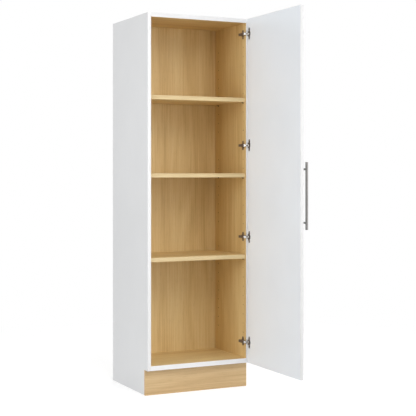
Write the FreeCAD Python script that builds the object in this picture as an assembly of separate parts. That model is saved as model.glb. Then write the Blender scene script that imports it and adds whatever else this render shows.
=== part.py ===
import FreeCAD, Part
import os
from FreeCAD import Vector

# Broom cupboard: a tall carcase on a plinth, with three shelves and one door on four concealed hinges.
# Millimetres, +Z up. The origin is on the floor, under the middle of the plinth board.
# The front faces -Y and the door hangs on the +X side. The door stands open at a right angle.

# Carcase
width = 600.0
height = 2030.0
depth = 535.0
side_thickness = 19.0
top_thickness = 22.0
bottom_thickness = 25.0
edging_thickness = 1.0

# Plinth board in the toe notches
toe_height = 135.0
toe_setback = 35.0
plinth_thickness = 16.0
plinth_dowel_rise = 35.0

# Back panel in its grooves
interior_depth = 400.0
back_thickness = 8.0
groove_depth = 7.0
groove_end_gap = 0.3
groove_face_gap = 0.1

# Shelves, with the clear height of each compartment counted down from the top panel
shelf_thickness = 22.0
shelf_setback = 10.0
shelf_side_gap = 1.0
shelf_back_gap = 2.0
upper_opening = 413.0
second_opening = 394.0
third_opening = 426.5

# Rows of holes for the shelf supports
row_inset = 37.0
row_spacing = 320.0
hole_pitch = 51.0
hole_radius = 2.5
hole_depth = 12.0
hole_margin = 10.0

# Shelf supports
support_shank_radius = 2.4
support_shank_length = 9.0
support_width = 8.0
support_length = 11.0
support_height = 8.0
support_gauge = 1.5

# Corner joints: cam fittings and dowels
joint_inset = 60.0
dowel_offset = 32.0
dowel_radius = 4.0
dowel_length = 30.0
dowel_in_side = 11.0
dowel_fit = 0.1
cam_radius = 7.5
cam_depth = 12.5
cam_distance = 34.0
cam_fit = 0.1
cam_slot_width = 2.0
cam_slot_depth = 3.0
bolt_radius = 3.0
bolt_head_radius = 3.6
bolt_head_length = 3.0
bolt_in_side = 11.0
bolt_channel_radius = 4.0

# Door
door_thickness = 18.0
door_gap = 2.0
side_reveal = 2.0
end_reveal = 1.0
open_angle = 90.0
widest_angle = 100.0

# Hinge places: down from the top of the door, and up from its bottom
top_hinge_drop = 82.0
upper_hinge_drop = 696.0
lower_hinge_drop = 1200.0
bottom_hinge_rise = 114.0

# Hinge linkage, door closed: the arm's two pins from the side panel, the cup's two from the door
outer_arm_pin_inset = 14.7
outer_arm_pin_depth = 0.2
inner_arm_pin_inset = 8.1
inner_arm_pin_reach = 11.0
outer_cup_pin_inset = 8.0
outer_cup_pin_depth = 2.0
inner_cup_pin_inset = 8.0
inner_cup_pin_depth = 5.8
outer_link_ratio = -0.21
inner_link_ratio = -0.15

# Hinge pins and links
arm_pin_radius = 1.1
cup_pin_radius = 1.0
pin_fit = 0.05
pin_head_radius = 1.6
pin_head_height = 0.5
inner_link_half = 3.0
layer_gap = 0.5
link_gauge = 1.5
ear_gauge = 1.5
outer_link_radius = 1.8
inner_link_radius = 1.6
link_eye_radius = 2.2
slot_wall = 0.9
knee_inset = 3.5
knee_reach = 4.6
link_web_radius = 1.2
link_web_margin = 4.0

# Hinge cup
cup_radius = 17.4
cup_wall = 0.7
cup_depth = 12.7
cup_bore_fit = 0.1
cup_edge_distance = 3.0
flange_gauge = 1.0
flange_overhang = 1.0
flange_clearance = 1.5
flange_screw_spacing = 52.0
flange_screw_offset = 5.5
flange_boss_radius = 6.5
flange_waist = 9.0
lug_width = 4.4

# Hinge arm and mounting plate
arm_height = 18.5
arm_flange_depth = 10.5
arm_gauge = 1.5
arm_start = 6.0
arm_end = 57.0
ear_radius = 2.6
plate_wing_length = 50.0
plate_wing_radius = 8.0
plate_wing_gauge = 2.2
plate_foot_gauge = 5.0
plate_foot_radius = 9.0
plate_front = 18.0
plate_back = 53.0
plate_screw_spacing = 32.0
arm_screw_front = 27.0
arm_screw_back = 46.0

# Screws
wood_screw_radius = 1.75
wood_screw_head_radius = 3.6
wood_screw_head_height = 1.6
wood_screw_length = 11.0
euro_screw_radius = 2.4
euro_screw_length = 11.0
euro_screw_head_radius = 3.9
euro_screw_head_height = 2.0
arm_screw_radius = 2.0
arm_screw_length = 9.0
arm_screw_head_radius = 3.2
arm_screw_head_height = 1.2
screw_fit = 0.1
recess_depth = 0.9
recess_width = 0.9

# Handle
handle_length = 345.0
handle_radius = 7.0
handle_chamfer = 0.8
handle_post_spacing = 272.0
handle_post_radius = 5.0
handle_projection = 34.0
handle_height = 1064.5
handle_inset = 27.0
handle_screw_radius = 2.0
handle_screw_head_radius = 4.0
handle_screw_head_height = 2.4
handle_screw_in_post = 10.0

# Derived places of the carcase
front = -toe_setback - plinth_thickness / 2
back = front + depth
side_inner = width / 2 - side_thickness
top_underside = height - top_thickness
bottom_face = toe_height + bottom_thickness
back_face = front + interior_depth
notch_depth = toe_setback + plinth_thickness
upper_shelf_level = top_underside - upper_opening - shelf_thickness
middle_shelf_level = upper_shelf_level - second_opening - shelf_thickness
lower_shelf_level = middle_shelf_level - third_opening - shelf_thickness
shelf_levels = {"upper": upper_shelf_level, "middle": middle_shelf_level, "lower": lower_shelf_level}
hole_rows = (front + row_inset, front + row_inset + row_spacing)

# Derived places of the door, closed
door_edge = width / 2 - side_reveal
door_face = front - door_gap
door_outer_face = door_face - door_thickness
door_bottom = toe_height + end_reveal
door_top = height - end_reveal
top_hinge = door_top - top_hinge_drop
upper_hinge = door_top - upper_hinge_drop
lower_hinge = door_top - lower_hinge_drop
bottom_hinge = door_bottom + bottom_hinge_rise
hinge_levels = {"bottom": bottom_hinge, "lower": lower_hinge, "upper": upper_hinge, "top": top_hinge}

# Derived places of the hinge, door closed
outer_arm_pin = Vector(side_inner - outer_arm_pin_inset, front + outer_arm_pin_depth, 0)
inner_arm_pin = Vector(side_inner - inner_arm_pin_inset, front - inner_arm_pin_reach, 0)
outer_cup_pin = Vector(door_edge - outer_cup_pin_inset, door_face - outer_cup_pin_depth, 0)
inner_cup_pin = Vector(door_edge - inner_cup_pin_inset, door_face - inner_cup_pin_depth, 0)
knee = Vector(side_inner - knee_inset, front - knee_reach, 0)
cup_bore_radius = cup_radius + cup_bore_fit
cup_centre = door_edge - cup_edge_distance - cup_bore_radius
cavity_radius = cup_radius - cup_wall
outer_link_low = inner_link_half + layer_gap
outer_link_high = outer_link_low + link_gauge
ear_low = outer_link_high + layer_gap
ear_high = ear_low + ear_gauge
arm_face = side_inner - arm_height
plate_line = front + row_inset

UP = Vector(0, 0, 1)
RIGHT = Vector(1, 0, 0)
INWARD = Vector(0, 1, 0)


def block(x_low, x_high, y_low, y_high, z_low, z_high):
    """A box between two corners."""
    return Part.makeBox(x_high - x_low, y_high - y_low, z_high - z_low, Vector(x_low, y_low, z_low))


def rod(radius, start, run):
    """A round bar from a point along a vector."""
    return Part.makeCylinder(radius, run.Length, start, run)


def joined(shapes):
    """Solids that touch or overlap, as one solid."""
    return shapes[0].fuse(shapes[1:]).removeSplitter()


def prism(corners, rise):
    """A flat piece with straight sides between its corners, as thick as the vector rise."""
    return Part.Face(Part.makePolygon(corners + corners[:1])).extrude(rise)


def strip(start, end, half, rise):
    """A flat bar with square ends between two points, as thick as the vector rise."""
    across = rise.cross(end - start).normalize() * half
    return prism([start + across, end + across, end - across, start - across], rise)


def stadium(start, end, radius, rise):
    """A flat bar with round ends between two points, as thick as the vector rise."""
    return joined([strip(start, end, radius, rise), rod(radius, start, rise), rod(radius, end, rise)])


def at_height(point, z):
    """The same place on the plan, at another height."""
    return Vector(point.x, point.y, z)


def turned(shape, pivot, angle):
    """A copy turned about an upright axis through the pivot."""
    copy = shape.copy()
    copy.rotate(pivot, UP, angle)
    return copy


def turned_point(point, pivot, angle):
    """A point turned about an upright axis through the pivot."""
    return FreeCAD.Rotation(UP, angle).multVec(point - pivot) + pivot


def outer_cup_pin_at(angle):
    """Where the outer link carries its cup pin, at an opening angle of the door."""
    return turned_point(outer_cup_pin, outer_arm_pin, outer_link_ratio * angle)


def hung(shape, angle=open_angle):
    """A piece of the closed door, placed at an opening angle."""
    copy = turned(shape, outer_cup_pin, angle)
    copy.translate(outer_cup_pin_at(angle) - outer_cup_pin)
    return copy


def inner_slot():
    """Middle and radius of the play that the inner link's eye needs about its cup pin."""
    places = []
    steps = 20
    for step in range(steps + 1):
        angle = widest_angle * step / steps
        carried = outer_cup_pin_at(angle) + FreeCAD.Rotation(UP, angle).multVec(inner_cup_pin - outer_cup_pin)
        places.append(turned_point(carried, inner_arm_pin, -inner_link_ratio * angle))
    across = [place.x for place in places]
    along = [place.y for place in places]
    middle = Vector((min(across) + max(across)) / 2, (min(along) + max(along)) / 2, 0)
    play = max((place - middle).Length for place in places)
    return middle, play


# Carcase


def support_holes():
    """Heights of the support holes: each shelf's row runs at one pitch between two hinges."""
    stops = sorted(hinge_levels.values())
    clearance = plate_wing_length / 2 + hole_margin
    heights = []
    for level in shelf_levels.values():
        pin = level - support_shank_radius
        below = max([stop for stop in stops if stop < pin] + [bottom_face])
        above = min([stop for stop in stops if stop > pin] + [top_underside])
        down = int(max(0, pin - below - clearance) // hole_pitch)
        up = int(max(0, above - clearance - pin) // hole_pitch)
        heights += [pin + hole_pitch * step for step in range(-down, up + 1)]
    return heights


def joint_places():
    """Distances along the carcase depth of the cam fittings and of the dowels beside them."""
    cams = (front + joint_inset, back - joint_inset)
    dowels = (cams[0] + dowel_offset, cams[1] - dowel_offset)
    return cams, dowels


def joint_heights():
    """Middle heights of the top panel and of the bottom panel."""
    return (height - top_thickness / 2, toe_height + bottom_thickness / 2)


def plinth_dowel_places():
    """Start points of the dowels that hold the plinth board to the two sides."""
    reach = width / 2 - side_thickness / 2
    heights = (plinth_dowel_rise, toe_height - plinth_dowel_rise)
    start = front + notch_depth - dowel_in_side
    return [Vector(x, start, z) for x in (-reach, reach) for z in heights]


def side_panel():
    """The right side: toe notch, back groove, support holes and joint bores."""
    panel = block(side_inner, width / 2, front + edging_thickness, back, 0, height)
    notch = block(side_inner - 1, width / 2 + 1, front, front + notch_depth, -1, toe_height)
    groove = block(side_inner - 1, side_inner + groove_depth, back_face - groove_face_gap,
                   back_face + back_thickness + groove_face_gap,
                   bottom_face - groove_depth, top_underside + groove_depth)
    cuts = [notch, groove]
    for y in hole_rows:
        for z in support_holes():
            cuts.append(rod(hole_radius, Vector(side_inner, y, z), RIGHT * hole_depth))
    cams, dowels = joint_places()
    for z in joint_heights():
        for y in cams:
            cuts.append(rod(bolt_radius + cam_fit, Vector(side_inner, y, z), RIGHT * (bolt_in_side + 1)))
        for y in dowels:
            depth_in_side = dowel_in_side + dowel_fit
            cuts.append(rod(dowel_radius + dowel_fit, Vector(side_inner, y, z), RIGHT * depth_in_side))
    for place in plinth_dowel_places():
        cuts.append(rod(dowel_radius + dowel_fit, place, INWARD * (dowel_length + dowel_fit)))
    return panel.cut(cuts)


def hinge_side_panel():
    """The side that carries the hinges, with two more bores for each mounting plate."""
    cuts = []
    for level in hinge_levels.values():
        for z in plate_screw_heights():
            start = Vector(side_inner, plate_line, level + z)
            cuts.append(rod(hole_radius, start, RIGHT * hole_depth))
    return side_panel().cut(cuts)


def cross_panel(low, high, cam_face, cam_drill):
    """The top or the bottom: back groove, and the bores of its four corner joints."""
    panel = block(-side_inner, side_inner, front + edging_thickness, back, low, high)
    groove_low = top_underside - 1 if low == top_underside else bottom_face - groove_depth
    groove_high = top_underside + groove_depth if low == top_underside else bottom_face + 1
    cuts = [block(-side_inner - 1, side_inner + 1, back_face - groove_face_gap,
                  back_face + back_thickness + groove_face_gap, groove_low, groove_high)]
    middle = (low + high) / 2
    cams, dowels = joint_places()
    for side in (-1, 1):
        inward = RIGHT * -side
        for y in cams:
            end = Vector(side * side_inner, y, middle)
            cuts.append(rod(bolt_channel_radius, end, inward * cam_distance))
            seat = Vector(side * (side_inner - cam_distance), y, cam_face)
            cuts.append(rod(cam_radius + cam_fit, seat, cam_drill * (cam_depth + cam_fit)))
        for y in dowels:
            end = Vector(side * side_inner, y, middle)
            dowel_in_panel = dowel_length - dowel_in_side + dowel_fit
            cuts.append(rod(dowel_radius + dowel_fit, end, inward * dowel_in_panel))
    return panel.cut(cuts)


def cam_bolt(side, y, z):
    """A bolt from the side panel into the cam housing, with its grip head."""
    start = Vector(side * (side_inner + bolt_in_side), y, z)
    inward = RIGHT * -side
    neck_end = bolt_in_side + cam_distance - cam_radius / 2
    shank = rod(bolt_radius, start, inward * neck_end)
    head = rod(bolt_head_radius, start + inward * neck_end, inward * bolt_head_length)
    return joined([shank, head])


def cam_housing(side, y, face, drill, z):
    """A cam housing flush with its panel, with a drive slot and the pocket that the bolt enters."""
    centre = Vector(side * (side_inner - cam_distance), y, face)
    body = rod(cam_radius, centre, drill * cam_depth)
    slot_reach = cam_radius * 0.6
    slot_low, slot_high = sorted((face, face + drill.z * cam_slot_depth))
    slot = block(centre.x - cam_slot_width / 2, centre.x + cam_slot_width / 2,
                 y - slot_reach, y + slot_reach, slot_low, slot_high)
    mouth = Vector(centre.x + side * (cam_radius + 1), y, z)
    pocket_length = cam_radius * 1.5 + bolt_head_length
    pocket = rod(bolt_head_radius + cam_fit, mouth, RIGHT * -side * pocket_length)
    return body.cut([slot, pocket])


def corner_fittings():
    """Cam bolts, cam housings and dowels of the four corner joints."""
    cams, dowels = joint_places()
    top_z, bottom_z = joint_heights()
    bolts = []
    housings = []
    pegs = []
    for side in (-1, 1):
        for z, face, drill in ((top_z, height, -UP), (bottom_z, toe_height, UP)):
            for y in cams:
                bolts.append(cam_bolt(side, y, z))
                housings.append(cam_housing(side, y, face, drill, z))
            for y in dowels:
                start = Vector(side * (side_inner + dowel_in_side), y, z)
                pegs.append(rod(dowel_radius, start, RIGHT * -side * dowel_length))
    return Part.makeCompound(bolts), Part.makeCompound(housings), Part.makeCompound(pegs)


def back_panel():
    """The back, held in the grooves of the sides, the top and the bottom."""
    reach = side_inner + groove_depth - groove_end_gap
    return block(-reach, reach, back_face, back_face + back_thickness,
                 bottom_face - groove_depth, top_underside + groove_depth - groove_end_gap)


def plinth_board():
    """The board across both toe notches, with blind bores for its dowels."""
    board = block(-width / 2, width / 2, front + toe_setback, front + notch_depth, 0, toe_height)
    bores = [rod(dowel_radius + dowel_fit, place, INWARD * dowel_length) for place in plinth_dowel_places()]
    return board.cut(bores)


def shelf(level):
    """A shelf board on its supports."""
    reach = side_inner - shelf_side_gap
    shelf_front = front + shelf_setback + edging_thickness
    return block(-reach, reach, shelf_front, back_face - shelf_back_gap, level, level + shelf_thickness)


def shelf_edging(level):
    """The strip on the front edge of a shelf."""
    reach = side_inner - shelf_side_gap
    shelf_front = front + shelf_setback
    return block(-reach, reach, shelf_front, shelf_front + edging_thickness, level, level + shelf_thickness)


def shelf_support(y, level):
    """A spoon support in the right side: a shank in its hole and an angle under the shelf."""
    half = support_width / 2
    base = level - support_gauge
    shank = rod(support_shank_radius, Vector(side_inner, y, level - support_shank_radius),
                RIGHT * support_shank_length)
    leaf = block(side_inner - support_gauge, side_inner, y - half, y + half, level - support_height, level)
    tip = Vector(side_inner - support_length + half, y, base)
    spoon = joined([block(tip.x, side_inner, y - half, y + half, base, level),
                    rod(half, tip, UP * support_gauge)])
    return joined([leaf, spoon, shank])


def shelf_supports():
    """Four supports under each shelf, mirrored for the left side."""
    right = [shelf_support(y, level) for level in shelf_levels.values() for y in hole_rows]
    left = [support.mirror(Vector(0, 0, 0), RIGHT) for support in right]
    return Part.makeCompound(right + left)


# Hinge, built with the door closed and its middle at height zero


def plate_screw_heights():
    """The two screws of a mounting plate, above and below its middle."""
    return (-plate_screw_spacing / 2, plate_screw_spacing / 2)


def cup_screw_heights():
    """The two screws of a cup's flange, above and below its middle."""
    return (-flange_screw_spacing / 2, flange_screw_spacing / 2)


def arm_screw_places():
    """The two screws of the arm: side adjustment in front, fixing screw behind."""
    return (front + arm_screw_front, front + arm_screw_back)


def drive_recess(centre, outward, up):
    """The crossed drive recess of a screw head, as the two bars that are cut from it."""
    side = outward.cross(up)
    reach = 2 * recess_width
    start = centre - outward * recess_depth
    half = recess_width / 2
    return [strip(start - axis * reach, start + axis * reach, half, outward * (recess_depth + 1))
            for axis in (up, side)]


def mounting_plate():
    """The cross-shaped plate on the side panel, with the ridge that the arm straddles."""
    wing_end = plate_wing_length / 2 - plate_wing_radius
    low = Vector(side_inner - plate_wing_gauge, plate_line, -wing_end)
    wings = stadium(low, low + UP * 2 * wing_end, plate_wing_radius, RIGHT * plate_wing_gauge)
    foot_start = Vector(side_inner - plate_foot_gauge, front + plate_front + plate_foot_radius, 0)
    foot_end = Vector(side_inner - plate_foot_gauge, front + plate_back - plate_foot_radius, 0)
    foot = stadium(foot_start, foot_end, plate_foot_radius, RIGHT * plate_foot_gauge)
    ridge_half = ear_low - layer_gap / 2
    ridge = block(arm_face + arm_gauge, side_inner, front + plate_front, front + plate_back,
                  -ridge_half, ridge_half)
    plate = joined([wings, foot, ridge])
    cuts = []
    for z in plate_screw_heights():
        start = Vector(side_inner, plate_line, z)
        cuts.append(rod(euro_screw_radius + screw_fit, start, RIGHT * -plate_foot_gauge))
    for y in arm_screw_places():
        start = Vector(arm_face, y, 0)
        cuts.append(rod(arm_screw_radius + screw_fit, start, RIGHT * (arm_screw_length + arm_gauge)))
    return plate.cut(cuts)


def plate_screws():
    """The two screws that hold a mounting plate to the side panel."""
    screws = []
    for z in plate_screw_heights():
        seat = Vector(side_inner - plate_wing_gauge, plate_line, z)
        shank = rod(euro_screw_radius, seat, RIGHT * (euro_screw_length + plate_wing_gauge))
        head = rod(euro_screw_head_radius, seat, RIGHT * -euro_screw_head_height)
        face = seat - RIGHT * euro_screw_head_height
        screws.append(joined([shank, head]).cut(drive_recess(face, -RIGHT, UP)))
    return screws


def arm_screws():
    """The two screws through the web of an arm."""
    screws = []
    for y in arm_screw_places():
        seat = Vector(arm_face, y, 0)
        shank = rod(arm_screw_radius, seat, RIGHT * (arm_screw_length + arm_gauge - 1))
        head = rod(arm_screw_head_radius, seat, RIGHT * -arm_screw_head_height)
        face = seat - RIGHT * arm_screw_head_height
        screws.append(joined([shank, head]).cut(drive_recess(face, -RIGHT, UP)))
    return screws


def arm_cheek(z_low, z_high):
    """One cheek of the arm: a straight flange, and the ear that reaches out to both arm pins."""
    rise = UP * (z_high - z_low)
    shoulder = Vector(arm_face + ear_radius, front + arm_start, 0)
    neck = Vector(inner_arm_pin.x, front + arm_start, 0)
    flange = block(arm_face, arm_face + arm_flange_depth, front + arm_start, front + arm_end, z_low, z_high)
    outer_arm = stadium(at_height(shoulder, z_low), at_height(outer_arm_pin, z_low), ear_radius, rise)
    nose = stadium(at_height(neck, z_low), at_height(inner_arm_pin, z_low), ear_radius, rise)
    rib = stadium(at_height(outer_arm_pin, z_low), at_height(inner_arm_pin, z_low), ear_radius, rise)
    filling = prism([at_height(point, z_low) for point in (shoulder, neck, inner_arm_pin, outer_arm_pin)], rise)
    return joined([flange, outer_arm, nose, rib, filling])


def hinge_arm():
    """The channel-shaped arm over the mounting plate, open towards the side panel."""
    web = block(arm_face, arm_face + arm_gauge, front + arm_start, front + arm_end, -ear_high, ear_high)
    arm = joined([web, arm_cheek(ear_low, ear_high), arm_cheek(-ear_high, -ear_low)])
    cuts = [rod(arm_pin_radius + pin_fit, at_height(pin, -ear_high - 1), UP * (2 * ear_high + 2))
            for pin in (outer_arm_pin, inner_arm_pin)]
    for y in arm_screw_places():
        start = Vector(arm_face - 1, y, 0)
        cuts.append(rod(arm_screw_radius + screw_fit, start, RIGHT * (arm_gauge + 2)))
    return arm.cut(cuts)


def headed_pin(place, radius, z_low, z_high):
    """A pin that is riveted over at both ends."""
    shank = rod(radius, at_height(place, z_low), UP * (z_high - z_low))
    lower = rod(pin_head_radius, at_height(place, z_low), UP * -pin_head_height)
    upper = rod(pin_head_radius, at_height(place, z_high), UP * pin_head_height)
    return joined([shank, lower, upper])


def arm_pins():
    """The two pins in the ears of an arm."""
    return [headed_pin(pin, arm_pin_radius, -ear_high, ear_high) for pin in (outer_arm_pin, inner_arm_pin)]


def cup_pins():
    """The inner link's pin across the cup, and the outer link's two stub pins."""
    pins = [headed_pin(inner_cup_pin, cup_pin_radius, -ear_high, ear_high)]
    for side in (-1, 1):
        start = at_height(outer_cup_pin, side * outer_link_low)
        shank = rod(cup_pin_radius, start, UP * side * (ear_high - outer_link_low))
        head = rod(pin_head_radius, at_height(outer_cup_pin, side * ear_high), UP * side * pin_head_height)
        pins.append(joined([shank, head]))
    return pins


def outer_link():
    """Two bent straps with eyes, joined by a web between the arm pin and the knee."""
    pieces = []
    for low in (outer_link_low, -outer_link_high):
        rise = UP * link_gauge
        pieces.append(rod(link_eye_radius, at_height(outer_arm_pin, low), rise))
        pieces.append(stadium(at_height(outer_arm_pin, low), at_height(knee, low), outer_link_radius, rise))
        pieces.append(stadium(at_height(knee, low), at_height(outer_cup_pin, low), outer_link_radius, rise))
    along = (knee - outer_arm_pin).normalize()
    web_start = outer_arm_pin + along * link_web_margin
    web_end = knee - along * link_web_margin
    web_rise = UP * 2 * outer_link_low
    pieces.append(stadium(at_height(web_start, -outer_link_low), at_height(web_end, -outer_link_low),
                          link_web_radius, web_rise))
    reach = UP * (2 * outer_link_high + 2)
    low = -outer_link_high - 1
    bores = [rod(arm_pin_radius + pin_fit, at_height(outer_arm_pin, low), reach),
             rod(cup_pin_radius + pin_fit, at_height(outer_cup_pin, low), reach)]
    return joined(pieces).cut(bores)


def inner_link():
    """The middle link, with a wide eye that leaves its cup pin free play."""
    middle, play = inner_slot()
    bore = cup_pin_radius + play + pin_fit
    low = -inner_link_half
    rise = UP * 2 * inner_link_half
    bar = stadium(at_height(inner_arm_pin, low), at_height(middle, low), inner_link_radius, rise)
    eye = rod(bore + slot_wall, at_height(middle, low), rise)
    root = rod(link_eye_radius, at_height(inner_arm_pin, low), rise)
    link = joined([bar, eye, root])
    return link.cut([rod(bore, at_height(middle, low), rise),
                     rod(arm_pin_radius + pin_fit, at_height(inner_arm_pin, low), rise)])


def flange_outline():
    """The cup's flange on the door: a rim with two wings that narrow towards their screws."""
    face = Vector(cup_centre, door_face, 0)
    thickness = INWARD * flange_gauge
    rim = rod(cup_radius + flange_overhang, face, thickness)
    pieces = [rim]
    for z in cup_screw_heights():
        boss = Vector(cup_centre - flange_screw_offset, door_face, z)
        root = face - RIGHT * flange_screw_offset
        wing = [root + RIGHT * flange_waist, boss + RIGHT * flange_boss_radius,
                boss - RIGHT * flange_boss_radius, root - RIGHT * flange_waist]
        pieces.append(prism(wing, thickness))
        pieces.append(rod(flange_boss_radius, boss, thickness))
    reach = cup_radius + flange_screw_spacing
    over_side = block(side_inner - flange_clearance, cup_centre + reach, door_face, door_face + flange_gauge,
                      -reach, reach)
    return joined(pieces).cut(over_side)


def hinge_cup():
    """The cup in the door, with its flange and the two lugs that hold the cup pins."""
    face = Vector(cup_centre, door_face, 0)
    shell = joined([rod(cup_radius, face, INWARD * -cup_depth), flange_outline()])
    mouth = face + INWARD * flange_gauge
    cavity = rod(cavity_radius, mouth, INWARD * -(flange_gauge + cup_depth - cup_wall))
    lug_low = outer_cup_pin.x - lug_width / 2
    lugs = []
    for low in (ear_low, -ear_high):
        lug = block(lug_low, cup_centre + cup_radius, door_face - cup_depth + cup_wall,
                    door_face - outer_cup_pin_depth + outer_link_radius, low, low + ear_gauge)
        lugs.append(lug.common(rod(cavity_radius, face, INWARD * -cup_depth)))
    cup = joined([shell.cut(cavity)] + lugs)
    reach = UP * (2 * ear_high + 2)
    cuts = [rod(cup_pin_radius + pin_fit, at_height(pin, -ear_high - 1), reach)
            for pin in (outer_cup_pin, inner_cup_pin)]
    for z in cup_screw_heights():
        boss = Vector(cup_centre - flange_screw_offset, door_face, z)
        cuts.append(rod(wood_screw_radius + screw_fit, boss, INWARD * flange_gauge))
    return cup.cut(cuts)


def cup_screws():
    """The two screws that hold a cup to the door."""
    screws = []
    for z in cup_screw_heights():
        seat = Vector(cup_centre - flange_screw_offset, door_face + flange_gauge, z)
        shank = rod(wood_screw_radius, seat, INWARD * -(flange_gauge + wood_screw_length))
        head = rod(wood_screw_head_radius, seat, INWARD * wood_screw_head_height)
        face = seat + INWARD * wood_screw_head_height
        screws.append(joined([shank, head]).cut(drive_recess(face, INWARD, UP)))
    return screws


# Door, built closed


def handle_places():
    """Where the two handle posts meet the outer face of the door."""
    x = -door_edge + handle_inset
    heights = (handle_height - handle_post_spacing / 2, handle_height + handle_post_spacing / 2)
    return [Vector(x, door_outer_face, z) for z in heights]


def door_panel():
    """The door board inside its edging, with the bores of its hinges and its handle."""
    reach = door_edge - edging_thickness
    panel = block(-reach, reach, door_outer_face, door_face,
                  door_bottom + edging_thickness, door_top - edging_thickness)
    cuts = []
    for level in hinge_levels.values():
        centre = Vector(cup_centre, door_face, level)
        cuts.append(rod(cup_bore_radius, centre, INWARD * -(cup_depth + cup_bore_fit)))
        for z in cup_screw_heights():
            start = centre + Vector(-flange_screw_offset, 0, z)
            cuts.append(rod(wood_screw_radius + screw_fit, start, INWARD * -(wood_screw_length + screw_fit)))
    for place in handle_places():
        cuts.append(rod(handle_screw_radius + screw_fit, place, INWARD * door_thickness))
        seat = place + INWARD * door_thickness
        head_bore = handle_screw_head_height + screw_fit
        cuts.append(rod(handle_screw_head_radius + screw_fit, seat, INWARD * -head_bore))
    return panel.cut(cuts)


def door_edging():
    """The strip round all four edges of the door."""
    outer = block(-door_edge, door_edge, door_outer_face, door_face, door_bottom, door_top)
    reach = door_edge - edging_thickness
    inner = block(-reach, reach, door_outer_face, door_face,
                  door_bottom + edging_thickness, door_top - edging_thickness)
    return outer.cut(inner)


def handle_bar():
    """The upright bar, chamfered at both ends, with a seat for each post."""
    x = -door_edge + handle_inset
    y = door_outer_face - handle_projection
    bar = rod(handle_radius, Vector(x, y, handle_height - handle_length / 2), UP * handle_length)
    ends = [edge for edge in bar.Edges if isinstance(edge.Curve, Part.Circle)]
    bar = bar.makeChamfer(handle_chamfer, ends)
    sockets = [rod(handle_post_radius + screw_fit, place, INWARD * -handle_projection)
               for place in handle_places()]
    return bar.cut(sockets)


def handle_posts():
    """The two posts between the door and the bar, tapped for their screws."""
    posts = []
    for place in handle_places():
        post = rod(handle_post_radius, place, INWARD * -(handle_projection - screw_fit))
        bore = rod(handle_screw_radius + screw_fit, place, INWARD * -(handle_screw_in_post + screw_fit))
        posts.append(post.cut(bore))
    return posts


def handle_screws():
    """The two screws through the door into the posts, with heads let into the inner face."""
    screws = []
    for place in handle_places():
        seat = place + INWARD * (door_thickness - handle_screw_head_height)
        shank_length = door_thickness - handle_screw_head_height + handle_screw_in_post
        shank = rod(handle_screw_radius, seat, INWARD * -shank_length)
        head = rod(handle_screw_head_radius, seat, INWARD * handle_screw_head_height)
        face = seat + INWARD * handle_screw_head_height
        screws.append(joined([shank, head]).cut(drive_recess(face, INWARD, UP)))
    return screws


# Assembly


def carcase_nodes():
    """The pieces of the carcase, by node name."""
    right = hinge_side_panel()
    bolts, housings, pegs = corner_fittings()
    strip_back = front + edging_thickness
    nodes = {
        "side_panel_right": right,
        "side_panel_left": side_panel().mirror(Vector(0, 0, 0), RIGHT),
        "top_panel": cross_panel(top_underside, height, height, -UP),
        "bottom_panel": cross_panel(toe_height, bottom_face, toe_height, UP),
        "back_panel": back_panel(),
        "plinth_board": plinth_board(),
        "side_edging_right": block(side_inner, width / 2, front, strip_back, toe_height, height),
        "side_edging_left": block(-width / 2, -side_inner, front, strip_back, toe_height, height),
        "top_edging": block(-side_inner, side_inner, front, strip_back, top_underside, height),
        "bottom_edging": block(-side_inner, side_inner, front, strip_back, toe_height, bottom_face),
        "shelf_supports": shelf_supports(),
        "cam_bolts": bolts,
        "cam_housings": housings,
        "corner_dowels": pegs,
        "plinth_dowels": Part.makeCompound(
            [rod(dowel_radius, place, INWARD * dowel_length) for place in plinth_dowel_places()]),
    }
    for name, level in shelf_levels.items():
        nodes["shelf_" + name] = shelf(level)
        nodes["shelf_edging_" + name] = shelf_edging(level)
    return nodes


def raised(shapes, level):
    """Copies of a hinge's pieces at the height of that hinge."""
    copies = []
    for shape in shapes:
        copy = shape.copy()
        copy.translate(UP * level)
        copies.append(copy)
    return copies


def hinge_nodes():
    """The pieces of the four hinges, by node name, with the door open."""
    plate = mounting_plate()
    arm = hinge_arm()
    outer = turned(outer_link(), outer_arm_pin, outer_link_ratio * open_angle)
    inner = turned(inner_link(), inner_arm_pin, inner_link_ratio * open_angle)
    cup = hung(hinge_cup())
    groups = {
        "plate_screws": plate_screws(),
        "arm_screws": arm_screws(),
        "arm_pins": arm_pins(),
        "cup_pins": [hung(pin) for pin in cup_pins()],
        "cup_screws": [hung(screw) for screw in cup_screws()],
    }
    nodes = {}
    for name, level in hinge_levels.items():
        nodes["mounting_plate_" + name] = raised([plate], level)[0]
        nodes["hinge_arm_" + name] = raised([arm], level)[0]
        nodes["outer_link_" + name] = raised([outer], level)[0]
        nodes["inner_link_" + name] = raised([inner], level)[0]
        nodes["hinge_cup_" + name] = raised([cup], level)[0]
    for name, shapes in groups.items():
        copies = []
        for level in hinge_levels.values():
            copies += raised(shapes, level)
        nodes[name] = Part.makeCompound(copies)
    return nodes


def door_nodes():
    """The door and its handle, by node name, with the door open."""
    return {
        "door_panel": hung(door_panel()),
        "door_edging": hung(door_edging()),
        "handle_bar": hung(handle_bar()),
        "handle_posts": hung(Part.makeCompound(handle_posts())),
        "handle_screws": hung(Part.makeCompound(handle_screws())),
    }


os.makedirs("parts", exist_ok=True)
for node_group in (carcase_nodes(), hinge_nodes(), door_nodes()):
    for node_name, node_shape in node_group.items():
        node_shape.exportStep("parts/" + node_name + ".step")
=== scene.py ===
"""Dresses the broom cupboard and sets up the studio that it stands in.

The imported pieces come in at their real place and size, in metres. Each sub-assembly has a
class that gives its pieces their finishes, and each finish builds its own material.
"""

from __future__ import annotations

import logging
import math
from abc import ABC, abstractmethod
from dataclasses import dataclass
from enum import Enum
from typing import Sequence

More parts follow.
